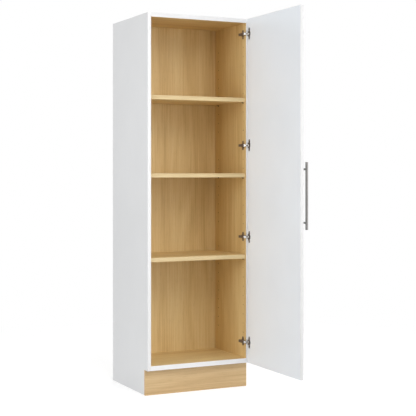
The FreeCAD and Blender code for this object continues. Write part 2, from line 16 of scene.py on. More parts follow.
import bmesh
import bpy
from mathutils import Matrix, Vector

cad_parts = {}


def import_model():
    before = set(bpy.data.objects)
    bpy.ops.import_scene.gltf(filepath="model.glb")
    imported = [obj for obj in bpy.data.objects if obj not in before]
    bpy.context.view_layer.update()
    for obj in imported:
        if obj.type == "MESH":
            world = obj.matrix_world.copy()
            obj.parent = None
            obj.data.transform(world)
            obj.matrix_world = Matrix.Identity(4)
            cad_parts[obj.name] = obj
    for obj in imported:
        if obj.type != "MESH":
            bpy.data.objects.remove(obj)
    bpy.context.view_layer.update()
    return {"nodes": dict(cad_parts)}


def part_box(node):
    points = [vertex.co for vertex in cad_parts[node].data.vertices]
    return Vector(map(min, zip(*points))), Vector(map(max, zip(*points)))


Colour = tuple[float, float, float, float]
Triple = tuple[float, float, float]
Range = tuple[float, float]
Socket = bpy.types.NodeSocket
Pieces = dict[str, bpy.types.Object]

LOG = logging.getLogger("broom_cupboard")

MILLIMETRE = 0.001
FACE_TOLERANCE = 0.05 * MILLIMETRE
ORIGIN: Triple = (0.0, 0.0, 0.0)
UNIT: Range = (0.0, 1.0)

FULL_STEP = 255.0
CURVE_START = 0.04045
LINEAR_SLOPE = 12.92
CURVE_OFFSET = 0.055
CURVE_POWER = 2.4


def tint(red: int, green: int, blue: int) -> Colour:
    """Turns a colour in steps of 0 to 255 into the linear values that shaders take.

    Args:
        red: Red, 0 to 255.
        green: Green, 0 to 255.
        blue: Blue, 0 to 255.

    Returns:
        The linear colour with full alpha.
    """
    parts = []
    for step in (red, green, blue):
        value = step / FULL_STEP
        if value <= CURVE_START:
            parts.append(value / LINEAR_SLOPE)
        else:
            parts.append(((value + CURVE_OFFSET) / (1.0 + CURVE_OFFSET)) ** CURVE_POWER)
    return (parts[0], parts[1], parts[2], 1.0)


WHITE: Colour = tint(255, 255, 255)


class Axis(Enum):
    """A direction of the cupboard: across its width, into its depth, or up."""

    WIDTH = 0
    DEPTH = 1
    UP = 2


class Ray(Enum):
    """A kind of ray that a surface can tell apart."""

    CAMERA = "Is Camera Ray"
    GLOSSY = "Is Glossy Ray"
    TRANSMISSION = "Is Transmission Ray"


class Step(Enum):
    """One step of arithmetic on values."""

    PLUS = "ADD"
    MINUS = "SUBTRACT"
    TIMES = "MULTIPLY"
    SIZE = "ABSOLUTE"
    LARGER = "MAXIMUM"
    IS_BELOW = "LESS_THAN"
    IS_ABOVE = "GREATER_THAN"
    TO_AND_FRO = "PINGPONG"


class Curve(Enum):
    """How a value runs between the ends of its range."""

    STRAIGHT = "LINEAR"
    SMOOTH = "SMOOTHSTEP"


class Blend(Enum):
    """What is blended: the data type, the places of both inputs and the place of the result."""

    VALUES = ("FLOAT", 2, 3, 0)
    COLOURS = ("RGBA", 6, 7, 2)


@dataclass(frozen=True)
class Pattern:
    """Soft noise, in cycles per metre.

    The run is how much of that scale is left along the axis that it is drawn out along, and
    the window is the part of its values that a finish spreads over a range of its own.
    """

    scale: float
    detail: float
    roughness: float
    distortion: float = 0.0
    run: float = 1.0
    window: Range = UNIT


class Graph:
    """A node tree, with short calls for the nodes that the finishes use."""

    def __init__(self, tree: bpy.types.NodeTree) -> None:
        """Keeps the tree that the nodes are added to."""
        self.tree = tree

    def add(self, kind: str, **settings: object) -> bpy.types.Node:
        """Adds a node.

        Args:
            kind: The node's type.
            **settings: Properties to set on it.

        Returns:
            The new node.
        """
        node = self.tree.nodes.new(kind)
        for name, value in settings.items():
            setattr(node, name, value)
        return node

    def feed(self, target: Socket, source: Socket | float | Sequence[float]) -> None:
        """Links a socket, or sets its value.

        Args:
            target: The input socket.
            source: An output socket, or a plain value.
        """
        if isinstance(source, bpy.types.NodeSocket):
            self.tree.links.new(source, target)
        else:
            target.default_value = source

    def place(self) -> Socket:
        """The point's place in the cupboard's frame, in metres."""
        return self.add("ShaderNodeTexCoord").outputs["Object"]

    def along(self, axis: Axis) -> Socket:
        """The point's coordinate along one axis.

        Args:
            axis: The axis.

        Returns:
            The coordinate, in metres.
        """
        split = self.add("ShaderNodeSeparateXYZ")
        self.feed(split.inputs[0], self.place())
        return split.outputs[axis.value]

    def drawn_out(self, axis: Axis, run: float, shift: Triple = ORIGIN) -> Socket:
        """The point's place, drawn out along one axis and then shifted.

        Args:
            axis: The axis.
            run: Scale along the axis.
            shift: Shift along X, Y and Z.

        Returns:
            The changed coordinates.
        """
        scale = [1.0, 1.0, 1.0]
        scale[axis.value] = run
        node = self.add("ShaderNodeVectorMath", operation="MULTIPLY_ADD")
        for index, source in enumerate((self.place(), scale, shift)):
            self.feed(node.inputs[index], source)
        return node.outputs[0]

    def noise(self, pattern: Pattern, axis: Axis = Axis.UP, shift: Triple = ORIGIN) -> Socket:
        """Soft noise between 0 and 1.

        Args:
            pattern: The noise.
            axis: The axis that it is drawn out along.
            shift: Shift of the pattern along X, Y and Z.

        Returns:
            The noise value.
        """
        node = self.add("ShaderNodeTexNoise")
        self.feed(node.inputs["Vector"], self.drawn_out(axis, pattern.run, shift))
        self.feed(node.inputs["Scale"], pattern.scale)
        self.feed(node.inputs["Detail"], pattern.detail)
        self.feed(node.inputs["Roughness"], pattern.roughness)
        self.feed(node.inputs["Distortion"], pattern.distortion)
        return node.outputs["Fac"]

    def cells(self, vector: Socket, scale: float) -> Socket:
        """A random grey for each cell of a Voronoi pattern.

        Args:
            vector: Coordinates.
            scale: Size of the pattern, in cells per unit.

        Returns:
            The cell's value, between 0 and 1.
        """
        node = self.add("ShaderNodeTexVoronoi")
        self.feed(node.inputs["Vector"], vector)
        self.feed(node.inputs["Scale"], scale)
        split = self.add("ShaderNodeSeparateColor")
        self.feed(split.inputs[0], node.outputs["Color"])
        return split.outputs[0]

    def math(self, step: Step, first: Socket | float, second: Socket | float = 0.0) -> Socket:
        """Takes one step of arithmetic.

        Args:
            step: The step.
            first: First value.
            second: Second value.

        Returns:
            The result.
        """
        node = self.add("ShaderNodeMath", operation=step.value)
        self.feed(node.inputs[0], first)
        self.feed(node.inputs[1], second)
        return node.outputs[0]

    def remap(self, value: Socket, window: Range, target: Range = UNIT,
              curve: Curve = Curve.STRAIGHT) -> Socket:
        """Spreads one range over another, held at its ends.

        Args:
            value: The value.
            window: The range of the value.
            target: The range that it becomes.
            curve: How it runs between the ends.

        Returns:
            The new value.
        """
        node = self.add("ShaderNodeMapRange", interpolation_type=curve.value)
        for index, source in enumerate((value, *window, *target)):
            self.feed(node.inputs[index], source)
        return node.outputs[0]

    def blend(self, kind: Blend, factor: Socket | float, first: Socket | float | Colour,
              second: Socket | float | Colour) -> Socket:
        """Blends two inputs.

        Args:
            kind: What is blended.
            factor: 0 for the first, 1 for the second.
            first: First input.
            second: Second input.

        Returns:
            The blend.
        """
        data_type, first_place, second_place, result_place = kind.value
        node = self.add("ShaderNodeMix", data_type=data_type)
        self.feed(node.inputs[0], factor)
        self.feed(node.inputs[first_place], first)
        self.feed(node.inputs[second_place], second)
        return node.outputs[result_place]

    def mix(self, factor: Socket | float, first: Socket | Colour, second: Socket | Colour) -> Socket:
        """Blends two colours: 0 gives the first, 1 the second."""
        return self.blend(Blend.COLOURS, factor, first, second)

    def between(self, factor: Socket | float, first: Socket | float, second: Socket | float) -> Socket:
        """Blends two plain values: 0 gives the first, 1 the second."""
        return self.blend(Blend.VALUES, factor, first, second)

    def seen_by(self, *kinds: Ray) -> Socket:
        """Tells some kinds of ray from the rest.

        Args:
            *kinds: The kinds of ray.

        Returns:
            1 for those rays, and 0 for all others.
        """
        path = self.add("ShaderNodeLightPath")
        factor = path.outputs[kinds[0].value]
        for kind in kinds[1:]:
            factor = self.math(Step.LARGER, factor, path.outputs[kind.value])
        return factor


class MaterialGraph(Graph):
    """The node tree of one new material."""

    def __init__(self, name: str) -> None:
        """Makes the material.

        Args:
            name: The material's name.
        """
        self.material = bpy.data.materials.new(name)
        self.material.use_nodes = True
        super().__init__(self.material.node_tree)
        self.shader = self.tree.nodes["Principled BSDF"]

    def set(self, **values: object) -> None:
        """Sets constant values on the shader's own sockets, named with _ for a blank."""
        for name, value in values.items():
            self.shader.inputs[name.replace("_", " ")].default_value = value

    def finish(self, skin: Skin) -> bpy.types.Material:
        """Links a skin to the shader.

        Args:
            skin: Colour, roughness and relief.

        Returns:
            The finished material.
        """
        self.feed(self.shader.inputs["Base Color"], skin.colour)
        self.feed(self.shader.inputs["Roughness"], skin.roughness)
        bump = self.add("ShaderNodeBump")
        self.feed(bump.inputs["Strength"], 1.0)
        self.feed(bump.inputs["Distance"], MILLIMETRE)
        self.feed(bump.inputs["Height"], skin.relief)
        self.feed(self.shader.inputs["Normal"], bump.outputs["Normal"])
        return self.material


@dataclass
class Skin:
    """What a surface shows: its colour, its roughness and its relief in millimetres."""

    colour: Socket
    roughness: Socket
    relief: Socket

    def under(self, graph: Graph, factor: Socket, top: Skin) -> Skin:
        """Lays another skin over this one.

        Args:
            graph: The material's graph.
            factor: 1 where the top skin shows.
            top: The skin on top.

        Returns:
            The combined skin.
        """
        return Skin(
            graph.mix(factor, self.colour, top.colour),
            graph.between(factor, self.roughness, top.roughness),
            graph.between(factor, self.relief, top.relief),
        )


# Finishes


class Finish(ABC):
    """A finish that a material can show all over."""

    @abstractmethod
    def skin(self, graph: Graph) -> Skin:
        """Builds the finish's colour, roughness and relief."""

    @abstractmethod
    def constants(self) -> dict[str, object]:
        """Gives the shader's values that are the same all over."""

    def material(self, name: str) -> bpy.types.Material:
        """Builds a material that shows this finish all over.

        Args:
            name: The material's name.

        Returns:
            The material.
        """
        graph = MaterialGraph(name)
        graph.set(**self.constants())
        return graph.finish(self.skin(graph))


@dataclass(frozen=True)
class OakTones:
    """The colours of one batch of oak, from its palest wood to its pores."""

    light: Colour = tint(236, 212, 158)
    middle: Colour = tint(225, 196, 139)
    dark: Colour = tint(204, 171, 114)
    pore: Colour = tint(160, 127, 79)


PLINTH_TONES = OakTones(tint(226, 200, 156), tint(215, 184, 137), tint(194, 160, 112), tint(152, 118, 76))
EDGING_TONES = OakTones(tint(230, 210, 164), tint(222, 198, 150), tint(206, 178, 128), tint(170, 138, 94))
EDGING_STREAKS = Pattern(scale=260.0, detail=5.0, roughness=0.62, run=0.018, window=(0.32, 0.68))


@dataclass(frozen=True)
class Oak(Finish):
    """Oak facing: soft bands, nested growth rings, fine streaks and open pores along the grain.

    A tone runs from about -0.5 for dark wood to 0.5 for light wood. The depths say how far each
    pattern moves it, and the shade darkens the whole board. Reliefs are in millimetres.
    """

    grain: Axis
    figure: float
    tones: OakTones = OakTones()
    shade: float = 0.0
    figure_shift: Triple = (1.0, 1.7, 0.6)
    bands: Pattern = Pattern(scale=11.0, detail=3.0, roughness=0.5, distortion=0.2, run=0.05,
                             window=(0.3, 0.7))
    band_depth: Range = (-0.28, 0.28)
    rings: Pattern = Pattern(scale=2.6, detail=2.0, roughness=0.45, distortion=0.1, run=0.16)
    ring_count: float = 26.0
    ring_depth: Range = (-0.10, 0.10)
    streaks: Pattern = Pattern(scale=150.0, detail=5.0, roughness=0.62, run=0.018, window=(0.32, 0.68))
    streak_depth: Range = (-0.26, 0.26)
    streak_relief: float = 0.03
    pores: Pattern = Pattern(scale=620.0, detail=2.0, roughness=0.5, run=0.035, window=(0.60, 0.72))
    pore_strength: float = 0.32
    pore_relief: float = -0.05
    light_tones: Range = (0.0, 0.5)
    dark_tones: Range = (-0.5, 0.0)
    gloss_window: Range = (0.2, 0.8)
    roughness: Range = (0.50, 0.40)
    specular: float = 0.35

    def layer(self, graph: Graph, pattern: Pattern) -> Socket:
        """Draws a pattern out along the grain.

        Args:
            graph: The material's graph.
            pattern: The pattern.

        Returns:
            The noise value, between 0 and 1.
        """
        across, inward, upward = self.figure_shift
        shift = (self.figure * across, self.figure * inward, self.figure * upward)
        return graph.noise(pattern, self.grain, shift)

    def tone(self, graph: Graph, streaks: Socket) -> Socket:
        """Adds up the bands, the growth rings and the streaks.

        Args:
            graph: The material's graph.
            streaks: The streak pattern.

        Returns:
            The tone.
        """
        bands = graph.remap(self.layer(graph, self.bands), self.bands.window, self.band_depth)
        field = graph.math(Step.TIMES, self.layer(graph, self.rings), self.ring_count)
        rings = graph.remap(graph.math(Step.TO_AND_FRO, field, 1.0), self.rings.window, self.ring_depth)
        streaking = graph.remap(streaks, self.streaks.window, self.streak_depth)
        tone = graph.math(Step.PLUS, graph.math(Step.PLUS, bands, rings), streaking)
        return graph.math(Step.MINUS, tone, self.shade)

    def skin(self, graph: Graph) -> Skin:
        """Builds the oak's colour, sheen and relief.

        Args:
            graph: The material's graph.

        Returns:
            The skin.
        """
        streaks = self.layer(graph, self.streaks)
        dashes = graph.remap(self.layer(graph, self.pores), self.pores.window)
        tone = self.tone(graph, streaks)
        wood = graph.mix(graph.remap(tone, self.light_tones), self.tones.middle, self.tones.light)
        wood = graph.mix(graph.remap(tone, self.dark_tones, (1.0, 0.0)), wood, self.tones.dark)
        colour = graph.mix(graph.math(Step.TIMES, dashes, self.pore_strength), wood, self.tones.pore)
        relief = graph.math(Step.PLUS, graph.math(Step.TIMES, dashes, self.pore_relief),
                            graph.math(Step.TIMES, streaks, self.streak_relief))
        return Skin(colour, graph.remap(streaks, self.gloss_window, self.roughness), relief)

    def constants(self) -> dict[str, object]:
        """Gives the oak's specular level."""
        return {"Specular_IOR_Level": self.specular}


@dataclass(frozen=True)
class WhiteFacing(Finish):
    """Satin white facing with a faint orange-peel relief, slight cloudiness and rubbed patches.

    Its colour is in steps of 0 to 255, and the dulling is how many steps the clouds take off.
    """

    red: int
    green: int
    blue: int
    sheen: float = 0.34
    sheen_spread: Range = (-0.04, 0.06)
    dulling: int = 3
    clouds: Pattern = Pattern(scale=3.5, detail=4.0, roughness=0.55, window=(0.3, 0.7))
    rubs: Pattern = Pattern(scale=26.0, detail=6.0, roughness=0.6, run=0.35, window=(0.3, 0.7))
    rub_shift: Triple = (3.0, 1.0, 2.0)
    peel: Pattern = Pattern(scale=900.0, detail=2.0, roughness=0.5)
    peel_relief: float = 0.012
    specular: float = 0.4

    def skin(self, graph: Graph) -> Skin:
        """Builds the white's colour, sheen and relief.

        Args:
            graph: The material's graph.

        Returns:
            The skin.
        """
        clean = tint(self.red, self.green, self.blue)
        dull = tint(self.red - self.dulling, self.green - self.dulling, self.blue - self.dulling)
        colour = graph.mix(graph.remap(graph.noise(self.clouds), self.clouds.window), clean, dull)
        smoothest, roughest = self.sheen_spread
        roughness = graph.remap(graph.noise(self.rubs, Axis.UP, self.rub_shift), self.rubs.window,
                                (self.sheen + smoothest, self.sheen + roughest))
        return Skin(colour, roughness, graph.math(Step.TIMES, graph.noise(self.peel), self.peel_relief))

    def constants(self) -> dict[str, object]:
        """Gives the facing's specular level."""
        return {"Specular_IOR_Level": self.specular}


@dataclass(frozen=True)
class ShadedChipboard:
    """The raw core of a faced board: pressed chips of mixed browns and dust, painted dark as shade."""

    # These browns are painted shade, far darker than raw chipboard, so that the bores read as dark holes.
    pale: Colour = tint(72, 52, 32)
    brown: Colour = tint(40, 28, 17)
    chip_scale: float = 650.0
    chip_run: float = 0.6
    chip_relief: float = 0.12
    dust: Pattern = Pattern(scale=1800.0, detail=2.0, roughness=0.5, run=0.6)
    dust_share: float = 0.35
    roughness: Range = (0.80, 0.95)

    def skin(self, graph: Graph) -> Skin:
        """Builds the core's colour, sheen and relief.

        Args:
            graph: The material's graph.

        Returns:
            The skin.
        """
        chips = graph.cells(graph.drawn_out(Axis.UP, self.chip_run), self.chip_scale)
        dust = graph.noise(self.dust)
        colour = graph.mix(graph.between(self.dust_share, chips, dust), self.pale, self.brown)
        roughness = graph.remap(dust, self.dust.window, self.roughness)
        return Skin(colour, roughness, graph.math(Step.TIMES, chips, self.chip_relief))


@dataclass(frozen=True)
class FacedBoard:
    """Faced on both broad sides and edged all round, with a raw core painted dark as shade in its bores.
    """

    thickness: Axis
    low_face: Oak | WhiteFacing
    high_face: Oak | WhiteFacing
    edge: WhiteFacing
    # The core's dark browns are painted shade inside the bores.
    core: ShadedChipboard = ShadedChipboard()
    specular: float = 0.38

    def near(self, graph: Graph, axis: Axis, plane: float) -> Socket:
        """Gives 1 on the faces that lie on a plane square to the axis, and 0 elsewhere."""
        gap = graph.math(Step.SIZE, graph.math(Step.MINUS, graph.along(axis), plane))
        return graph.math(Step.IS_BELOW, gap, FACE_TOLERANCE)

    def rim(self, graph: Graph, low: Vector, high: Vector) -> Socket:
        """Finds the narrow faces all round the board.

        Args:
            graph: The material's graph.
            low: The board's lowest corner.
            high: The board's highest corner.

        Returns:
            1 on the narrow faces, and 0 elsewhere.
        """
        around: Socket | float = 0.0
        for axis in Axis:
            if axis is not self.thickness:
                for corner in (low, high):
                    around = graph.math(Step.LARGER, self.near(graph, axis, corner[axis.value]), around)
        return around

    def material(self, name: str, low: Vector, high: Vector) -> bpy.types.Material:
        """Builds the board's material for the box that it fills.

        Args:
            name: The material's name.
            low: The board's lowest corner.
            high: The board's highest corner.

        Returns:
            The material.
        """
        graph = MaterialGraph(name)
        graph.set(Specular_IOR_Level=self.specular)
        skin = self.core.skin(graph).under(graph, self.rim(graph, low, high), self.edge.skin(graph))
        for facing, corner in ((self.low_face, low), (self.high_face, high)):
            on_face = self.near(graph, self.thickness, corner[self.thickness.value])
            skin = skin.under(graph, on_face, facing.skin(graph))
        return graph.finish(skin)


@dataclass(frozen=True)
class Metal(Finish):
    """Plated or brushed metal, with smudges in its gloss and fine lines along one axis."""

    base: Colour
    worn: Colour
    gloss: float
    metallic: float = 1.0
    edge_tint: Colour = WHITE
    brushed: Axis = Axis.UP
    lines: Pattern = Pattern(scale=2600.0, detail=3.0, roughness=0.6, run=0.012)
    line_shift: Triple = (0.3, 0.7, 0.1)
    line_relief: float = 0.004
    smudges: Pattern = Pattern(scale=90.0, detail=4.0, roughness=0.6)
    smudge_share: float = 0.5
    wear_window: Range = (0.35, 0.65)
    gloss_window: Range = (0.3, 0.7)
    gloss_spread: Range = (-0.05, 0.09)

    def skin(self, graph: Graph) -> Skin:
        """Builds the metal's colour, gloss and relief.

        Args:
            graph: The material's graph.

        Returns:
            The skin.
        """
        lines = graph.noise(self.lines, self.brushed, self.line_shift)
        shade = graph.between(self.smudge_share, lines, graph.noise(self.smudges))
        colour = graph.mix(graph.remap(shade, self.wear_window), self.base, self.worn)
        smoothest, roughest = self.gloss_spread
        roughness = graph.remap(shade, self.gloss_window, (self.gloss + smoothest, self.gloss + roughest))
        return Skin(colour, roughness, graph.math(Step.TIMES, lines, self.line_relief))

    def constants(self) -> dict[str, object]:
        """Gives the metal's share of reflection and the tint of its edges."""
        return {"Metallic": self.metallic, "Specular_Tint": self.edge_tint}


@dataclass(frozen=True)
class CupMetal:
    """A pressed cup: a dull flange on the door's face, and a lighter cup below it."""

    flange: Metal
    cup: Metal
    flange_thickness: float = 1.0 * MILLIMETRE

    def material(self, name: str, low: Vector) -> bpy.types.Material:
        """Builds the cup's material.

        Args:
            name: The material's name.
            low: The lowest corner of a cup, on the flange's face.

        Returns:
            The material.
        """
        graph = MaterialGraph(name)
        graph.set(Metallic=self.flange.metallic)
        depth = graph.math(Step.MINUS, graph.along(Axis.WIDTH), low[Axis.WIDTH.value])
        below = graph.math(Step.IS_ABOVE, depth, self.flange_thickness + FACE_TOLERANCE)
        return graph.finish(self.flange.skin(graph).under(graph, below, self.cup.skin(graph)))


@dataclass(frozen=True)
class Beech(Finish):
    """Plain beech, with short flecks along the dowel."""

    pale: Colour = tint(214, 178, 132)
    fleck: Colour = tint(176, 132, 88)
    flecks: Pattern = Pattern(scale=900.0, detail=3.0, roughness=0.6, run=0.08, window=(0.4, 0.7))
    fleck_relief: float = 0.03
    roughness: Range = (0.55, 0.7)
    specular: float = 0.5

    def skin(self, graph: Graph) -> Skin:
        """Builds the beech's colour, sheen and relief.

        Args:
            graph: The material's graph.

        Returns:
            The skin.
        """
        flecks = graph.noise(self.flecks, Axis.WIDTH)
        colour = graph.mix(graph.remap(flecks, self.flecks.window), self.pale, self.fleck)
        roughness = graph.remap(flecks, UNIT, self.roughness)
        return Skin(colour, roughness, graph.math(Step.TIMES, flecks, self.fleck_relief))

    def constants(self) -> dict[str, object]:
        """Gives the beech's specular level."""
        return {"Specular_IOR_Level": self.specular}


# Sub-assemblies


def dress(piece: bpy.types.Object, material: bpy.types.Material) -> None:
    """Gives a piece one material, and reports it.

    Args:
        piece: The piece.
        material: Its material.
    """
    piece.data.materials.clear()
    piece.data.materials.append(material)
    LOG.info("%s: %s", piece.name, material.name)


@dataclass(frozen=True)
class Rounding:
    """A slight rounding of sharp edges: its radius in metres and its steps."""

    radius: float
    segments: int = 3
    sharpest_left: float = math.radians(40.0)
    weld_distance: float = 0.01 * MILLIMETRE

    def soften(self, piece: bpy.types.Object) -> None:
        """Rounds the sharp edges of a piece.

        Args:
            piece: The piece.
        """
        weld = piece.modifiers.new("weld", "WELD")
        weld.merge_threshold = self.weld_distance
        bevel = piece.modifiers.new("soften", "BEVEL")
        bevel.width = self.radius
        bevel.segments = self.segments
        bevel.limit_method = "ANGLE"
        bevel.angle_limit = self.sharpest_left
        bevel.harden_normals = True


@dataclass
class Carcase:
    """The sides, top, bottom, back and plinth, with their front edging."""

    nodes: Pieces
    rounding: Rounding = Rounding(0.4 * MILLIMETRE)
    left_oak: Oak = Oak(Axis.UP, figure=2.0)
    # The right, bottom and back figures were picked so that the grain bands also lay in painted shade.
    right_oak: Oak = Oak(Axis.UP, figure=1.0)
    # The top oak's shade is painted shade on the ceiling; the bottom oak's is painted light on the floor.
    top_oak: Oak = Oak(Axis.WIDTH, figure=6.0, shade=0.25)
    bottom_oak: Oak = Oak(Axis.WIDTH, figure=27.07, shade=-0.2)
    back_oak: Oak = Oak(Axis.UP, figure=31.81)
    plinth_oak: Oak = Oak(Axis.WIDTH, figure=14.0, tones=PLINTH_TONES, shade=0.12)
    # The left side's outer white is darker than the other boards' white: painted shade on that side.
    left_white: WhiteFacing = WhiteFacing(226, 227, 228)
    board_white: WhiteFacing = WhiteFacing(232, 233, 234)
    back_white: WhiteFacing = WhiteFacing(238, 238, 238)
    # Copies of one edging white, stepped as painted light and shade; the right lifted in the door's
    # shade.
    left_edging: WhiteFacing = WhiteFacing(238, 238, 238, sheen=0.30)
    right_edging: WhiteFacing = WhiteFacing(250, 250, 252, sheen=0.30)
    top_edging: WhiteFacing = WhiteFacing(232, 232, 232, sheen=0.30)
    bottom_edging: WhiteFacing = WhiteFacing(246, 246, 246, sheen=0.30)

    def dress_boards(self) -> None:
        """Gives the faced boards white outside and oak inside."""
        white = self.board_white
        boards = {
            "side_panel_left": FacedBoard(Axis.WIDTH, self.left_white, self.left_oak, self.left_white),
            "side_panel_right": FacedBoard(Axis.WIDTH, self.right_oak, white, white),
            "top_panel": FacedBoard(Axis.UP, self.top_oak, white, white),
            "bottom_panel": FacedBoard(Axis.UP, white, self.bottom_oak, white),
            "back_panel": FacedBoard(Axis.DEPTH, self.back_oak, self.back_white, self.back_white),
        }
        for name, board in boards.items():
            dress(self.nodes[name], board.material(name, *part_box(name)))

    def dress_plinth(self) -> None:
        """Gives the plinth board oak with its grain across the cupboard."""
        dress(self.nodes["plinth_board"], self.plinth_oak.material("plinth_oak"))

    def dress_edging(self) -> None:
        """Gives the front edging its white and its rounded edges."""
        finishes = {
            "side_edging_left": self.left_edging,
            "side_edging_right": self.right_edging,
            "top_edging": self.top_edging,
            "bottom_edging": self.bottom_edging,
        }
        for name, finish in finishes.items():
            dress(self.nodes[name], finish.material(name + "_white"))
            self.rounding.soften(self.nodes[name])

    def build(self) -> None:
        """Dresses the whole carcase."""
        self.dress_boards()
        self.dress_plinth()
        self.dress_edging()


class ShelfLevel(Enum):
    """Where a shelf lies in the cupboard, as its nodes are named."""

    UPPER = "upper"
    MIDDLE = "middle"
    LOWER = "lower"


@dataclass(frozen=True)
class ShelfOak:
    """The oak of one shelf and of its front edging."""

    level: ShelfLevel
    board: Oak
    edging: Oak


@dataclass
class Shelving:
    """The three shelves, with their edging and supports."""

    nodes: Pieces
    rounding: Rounding = Rounding(0.4 * MILLIMETRE)
    shelves: tuple[ShelfOak, ...] = (
        ShelfOak(ShelfLevel.UPPER, Oak(Axis.WIDTH, figure=17.0),
                 Oak(Axis.WIDTH, figure=25.0, tones=EDGING_TONES, shade=0.35, streaks=EDGING_STREAKS)),
        ShelfOak(ShelfLevel.MIDDLE, Oak(Axis.WIDTH, figure=19.3),
                 Oak(Axis.WIDTH, figure=26.9, tones=EDGING_TONES, shade=0.1, streaks=EDGING_STREAKS)),
        ShelfOak(ShelfLevel.LOWER, Oak(Axis.WIDTH, figure=21.6),
                 Oak(Axis.WIDTH, figure=28.8, tones=EDGING_TONES, streaks=EDGING_STREAKS)),
    )
    # Real steel supports, coloured far darker than steel as painted shade for the line under each shelf.
    support_steel: Metal = Metal(tint(78, 72, 66), tint(56, 51, 46), gloss=0.42)

    def dress_shelf(self, shelf: ShelfOak) -> None:
        """Dresses one shelf and its edging.

        Args:
            shelf: The shelf's level and its oak.
        """
        level = shelf.level.value
        edging = self.nodes["shelf_edging_" + level]
        dress(self.nodes["shelf_" + level], shelf.board.material("shelf_oak_" + level))
        dress(edging, shelf.edging.material("shelf_edging_oak_" + level))
        self.rounding.soften(edging)

    def build(self) -> None:
        """Dresses the shelves, their edging and their supports."""
        for shelf in self.shelves:
            self.dress_shelf(shelf)
        dress(self.nodes["shelf_supports"], self.support_steel.material("support_steel"))


@dataclass
class Joinery:
    """The hidden cam fittings and dowels."""

    nodes: Pieces
    zinc: Metal = Metal(tint(190, 190, 190), tint(164, 164, 166), gloss=0.45, brushed=Axis.WIDTH)
    steel: Metal = Metal(tint(176, 174, 170), tint(150, 148, 145), gloss=0.32, brushed=Axis.WIDTH)
    beech: Beech = Beech()

    def build(self) -> None:
        """Dresses the cam housings, the bolts and the dowels."""
        dress(self.nodes["cam_housings"], self.zinc.material("cam_zinc"))
        dress(self.nodes["cam_bolts"], self.steel.material("bolt_steel"))
        beech = self.beech.material("beech")
        for name in ("corner_dowels", "plinth_dowels"):
            dress(self.nodes[name], beech)


@dataclass
class Door:
    """The white door board and its edging."""

    nodes: Pieces
    rounding: Rounding = Rounding(0.5 * MILLIMETRE)
    # Painted light: the inner white is brighter and bluer than the outer, offsetting the oak's warm
    # bounce.
    inside: WhiteFacing = WhiteFacing(241, 247, 253)
    outside: WhiteFacing = WhiteFacing(234, 235, 236)
    # A darker copy of the edging white, as painted shade.
    edging: WhiteFacing = WhiteFacing(226, 226, 226, sheen=0.30)

    def build(self) -> None:
        """Dresses the door board and its edging."""
        board = FacedBoard(Axis.WIDTH, self.inside, self.outside, self.outside)
        dress(self.nodes["door_panel"], board.material("door_panel", *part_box("door_panel")))
        dress(self.nodes["door_edging"], self.edging.material("door_edging_white"))
        self.rounding.soften(self.nodes["door_edging"])


class HingeLevel(Enum):
    """Where a hinge sits on the door, as its nodes are named."""

    BOTTOM = "bottom"
    LOWER = "lower"
    UPPER = "upper"
    TOP = "top"


@dataclass
class Hinges:
    """The four concealed hinges."""

    nodes: Pieces
    plate_nickel: Metal = Metal(tint(140, 126, 115), tint(112, 99, 90), gloss=0.42, metallic=0.6)
    link_nickel: Metal = Metal(tint(226, 225, 222), tint(198, 196, 192), gloss=0.24)
    flange_nickel: Metal = Metal(tint(86, 75, 66), tint(68, 59, 51), gloss=0.48, metallic=0.5)
    cup_nickel: Metal = Metal(tint(190, 178, 166), tint(160, 149, 139), gloss=0.44)
    screw_steel: Metal = Metal(tint(150, 142, 134), tint(116, 108, 101), gloss=0.34)
    pin_steel: Metal = Metal(tint(190, 188, 184), tint(160, 158, 155), gloss=0.28)

    def dress_hinges(self) -> None:
        """Dresses the plate, the arm, the links and the cup of each hinge."""
        plate = self.plate_nickel.material("plate_nickel")
        link = self.link_nickel.material("link_nickel")
        cup = CupMetal(self.flange_nickel, self.cup_nickel)
        for hinge in HingeLevel:
            level = hinge.value
            dress(self.nodes["mounting_plate_" + level], plate)
            dress(self.nodes["hinge_arm_" + level], plate)
            dress(self.nodes["outer_link_" + level], link)
            dress(self.nodes["inner_link_" + level], link)
            low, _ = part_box("hinge_cup_" + level)
            dress(self.nodes["hinge_cup_" + level], cup.material("cup_nickel_" + level, low))

    def dress_fixings(self) -> None:
        """Dresses the screws and the pins of all the hinges."""
        screws = self.screw_steel.material("fixing_steel")
        for name in ("plate_screws", "arm_screws", "cup_screws"):
            dress(self.nodes[name], screws)
        pins = self.pin_steel.material("pin_steel")
        for name in ("arm_pins", "cup_pins"):
            dress(self.nodes[name], pins)

    def build(self) -> None:
        """Dresses all the hinges."""
        self.dress_hinges()
        self.dress_fixings()


@dataclass
class Handle:
    """The bar handle with its posts and screws."""

    nodes: Pieces
    bar_steel: Metal = Metal(tint(146, 144, 142), tint(122, 120, 118), gloss=0.34, metallic=0.6,
                             edge_tint=tint(110, 110, 110), line_relief=0.006, smudge_share=0.2)
    post_steel: Metal = Metal(tint(104, 105, 102), tint(80, 81, 78), gloss=0.34, brushed=Axis.DEPTH)
    # The screw caps take the door's inner white, with its painted light.
    lacquer: WhiteFacing = WhiteFacing(241, 247, 253)

    def build(self) -> None:
        """Dresses the bar, the posts and the screws."""
        dress(self.nodes["handle_bar"], self.bar_steel.material("handle_bar_steel"))
        dress(self.nodes["handle_posts"], self.post_steel.material("handle_post_steel"))
        dress(self.nodes["handle_screws"], self.lacquer.material("handle_screw_lacquer"))


# Studio


